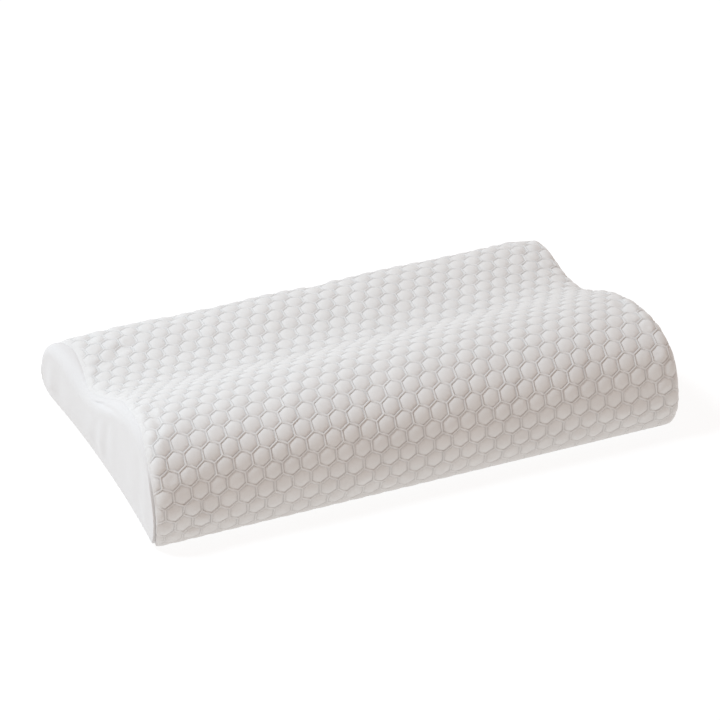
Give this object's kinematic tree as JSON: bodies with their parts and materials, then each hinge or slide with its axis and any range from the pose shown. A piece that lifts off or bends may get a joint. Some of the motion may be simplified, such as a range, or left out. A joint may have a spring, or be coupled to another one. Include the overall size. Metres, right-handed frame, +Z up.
{
  "type": "bed pillow",
  "caption": "Contoured foam bed pillow with a high neck ridge, a shallow valley and a low rear ridge, in a honeycomb-knit cover with plain end panels and a rear zip.",
  "frame": {"origin": "centre of the flat underside", "axes": "+X along the pillow's length, +Y from the high neck ridge to the low rear edge, +Z up"},
  "size_m": [0.5011, 0.3028, 0.098],
  "materials": {
    "quilted_knit": "soft air-layer knit with a raised honeycomb",
    "plain_knit": "smooth brushed knit",
    "seam_tape": "matt",
    "liner_jersey": "fine jersey",
    "memory_foam": "open-cell foam",
    "thread": "twisted polyester",
    "zip_tape": "woven herringbone",
    "zip_coil": "satin",
    "zip_metal": "semi-gloss enamel",
    "label_satin": "woven satin"
  },
  "bodies": {
    "pillow": {"cover_wrap": "quilted_knit", "cover_end_left": "plain_knit", "cover_end_right": "plain_knit", "seam_welt_left": "seam_tape", "seam_welt_right": "seam_tape", "liner_wrap": "liner_jersey", "liner_end_left": "liner_jersey", "liner_end_right": "liner_jersey", "liner_closing_seam": "thread", "foam_core": "memory_foam", "zip_tape_upper": "zip_tape", "zip_tape_lower": "zip_tape", "zip_stitch_upper": "thread", "zip_stitch_lower": "thread", "zip_coil_upper": "zip_coil", "zip_coil_lower": "zip_coil", "zip_top_stops": "zip_metal", "zip_bottom_stop": "zip_metal", "care_label": "label_satin", "label_stitch": "thread"},
    "slider": {"zip_slider": "zip_metal"},
    "pull_tab": {"zip_pull_tab": "zip_metal"}
  },
  "joints": [
    {"name": "zip_slide", "type": "slide", "parent": "pillow", "child": "slider", "axis": [-1, 0, 0], "range_m": [0, 0.408]},
    {"name": "pull_tab_hinge", "type": "hinge", "parent": "slider", "child": "pull_tab", "pos_m": [0.204, 0.1509, 0.023], "axis": [0, 0, -1], "range_deg": [0, 150]}
  ]
}
